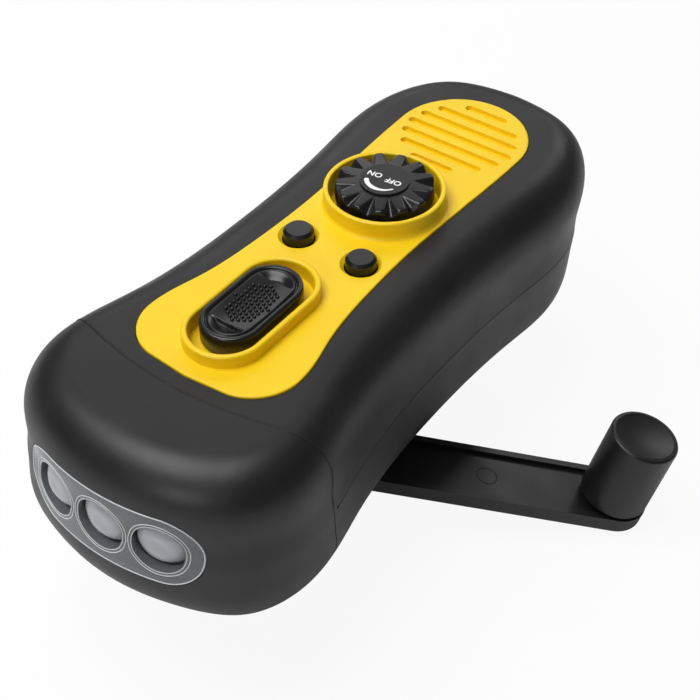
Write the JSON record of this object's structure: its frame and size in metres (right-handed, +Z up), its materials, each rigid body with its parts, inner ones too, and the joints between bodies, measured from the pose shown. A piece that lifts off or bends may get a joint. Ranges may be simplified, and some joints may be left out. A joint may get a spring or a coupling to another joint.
{
  "type": "hand crank flashlight",
  "caption": "Hand crank dynamo flashlight with radio: black housing with a belled lamp head, yellow control panel, folding crank with a free-turning handle under the belly.",
  "frame": {"origin": "middle of the flat foot under the lamp end", "axes": "+Z up out of the control panel, -Y out of the lamp, +X the side on which the crank stands out"},
  "size_m": [0.0994, 0.142, 0.0694],
  "materials": {
    "black_housing": "fine satin grain",
    "black_crank": "satin",
    "yellow_panel": "satin",
    "black_controls": "satin",
    "clear_lens": "polished clear plastic",
    "bright_reflector": "vacuum plated",
    "led_epoxy": "clear epoxy",
    "green_board": "solder mask",
    "steel": "turned steel",
    "zinc_screw": "zinc plated",
    "gear_plastic": "moulded white",
    "gear_plate_steel": "stamped",
    "magnet": "sintered",
    "copper_coil": "enamelled wire",
    "brass_bush": "turned",
    "switch_black": "moulded",
    "cone_paper": "pressed",
    "cell_wrap": "shrink sleeve",
    "ferrite": "sintered"
  },
  "bodies": {
    "housing": {"upper_shell": "black_housing", "lower_shell": "black_housing", "front_cap": "black_housing", "top_panel": "yellow_panel", "lens_window": "clear_lens", "led_reflector": "bright_reflector", "leds": "led_epoxy", "led_board": "green_board", "dynamo_coil": "copper_coil", "dynamo_stator": "gear_plate_steel", "gear_base": "gear_plate_steel", "gear_cover": "gear_plate_steel", "gear_pillars": "brass_bush", "gear_axles": "steel", "gear_screws": "zinc_screw", "hub_bush": "brass_bush", "main_board": "green_board", "board_screws": "zinc_screw", "slide_switch": "switch_black", "tact_switches": "switch_black", "volume_pot": "switch_black", "speaker_frame": "gear_plate_steel", "speaker_cone": "cone_paper", "speaker_magnet": "magnet", "battery_cells": "cell_wrap", "battery_cradle": "switch_black", "ferrite_rod": "ferrite", "antenna_coil": "copper_coil", "housing_screws": "zinc_screw"},
    "crank": {"crank_hub": "black_crank", "drive_gear": "gear_plastic", "shaft_clip": "steel", "hinge_pin": "steel"},
    "arm": {"crank_arm": "black_crank", "handle_post": "steel"},
    "handle": {"handle_sleeve": "black_crank", "handle_cap": "black_crank"},
    "idler_1": {"idler_gear_1": "gear_plastic"},
    "idler_2": {"idler_gear_2": "gear_plastic"},
    "rotor": {"rotor_pinion": "steel", "dynamo_magnet": "magnet"},
    "dial": {"volume_dial": "black_controls", "dial_disc": "black_controls", "dial_shaft": "steel"},
    "reset": {"reset_button": "black_controls"},
    "scan": {"scan_button": "black_controls"},
    "switch": {"light_switch": "black_controls"}
  },
  "joints": [
    {"name": "crank_turn", "type": "hinge", "parent": "housing", "child": "crank", "pos_m": [0, 0.0195, 0], "axis": [0, 0, 1], "continuous": true},
    {"name": "arm_fold", "type": "hinge", "parent": "crank", "child": "arm", "pos_m": [0, 0.0195, -0.0035], "axis": [-0.6018, 0.7986, 0], "range_deg": [-15, 0]},
    {"name": "handle_spin", "type": "hinge", "parent": "arm", "child": "handle", "pos_m": [0.05638, 0.06198, -0.02055], "axis": [0.2067, 0.1558, 0.9659], "continuous": true},
    {"name": "idler_1_spin", "type": "hinge", "parent": "housing", "child": "idler_1", "pos_m": [-0.00821, 0.04205, 0.009], "axis": [0, 0, 1], "continuous": true},
    {"name": "idler_2_spin", "type": "hinge", "parent": "housing", "child": "idler_2", "pos_m": [0.00733, 0.04069, 0.011], "axis": [0, 0, 1], "continuous": true},
    {"name": "rotor_spin", "type": "hinge", "parent": "housing", "child": "rotor", "pos_m": [0.00942, 0.05251, 0.018], "axis": [0, 0, 1], "continuous": true},
    {"name": "dial_turn", "type": "hinge", "parent": "housing", "child": "dial", "pos_m": [0, 0.055, 0.04], "axis": [0, 0, 1], "range_deg": [-270, 0]},
    {"name": "reset_press", "type": "slide", "parent": "housing", "child": "reset", "axis": [0, 0, -1], "range_m": [0, 0.0008], "stiffness_N_per_m": 1200, "springref_m": -0.0004},
    {"name": "scan_press", "type": "slide", "parent": "housing", "child": "scan", "axis": [0, 0, -1], "range_m": [0, 0.0008], "stiffness_N_per_m": 1200, "springref_m": -0.0004},
    {"name": "switch_slide", "type": "slide", "parent": "housing", "child": "switch", "axis": [0, 1, 0], "range_m": [-0.0024, 0.0024]}
  ],
  "couplings": [
    {"joint": "idler_1_spin", "follows": "crank_turn", "ratio": -4},
    {"joint": "idler_2_spin", "follows": "crank_turn", "ratio": 13.333},
    {"joint": "rotor_spin", "follows": "crank_turn", "ratio": -40}
  ]
}
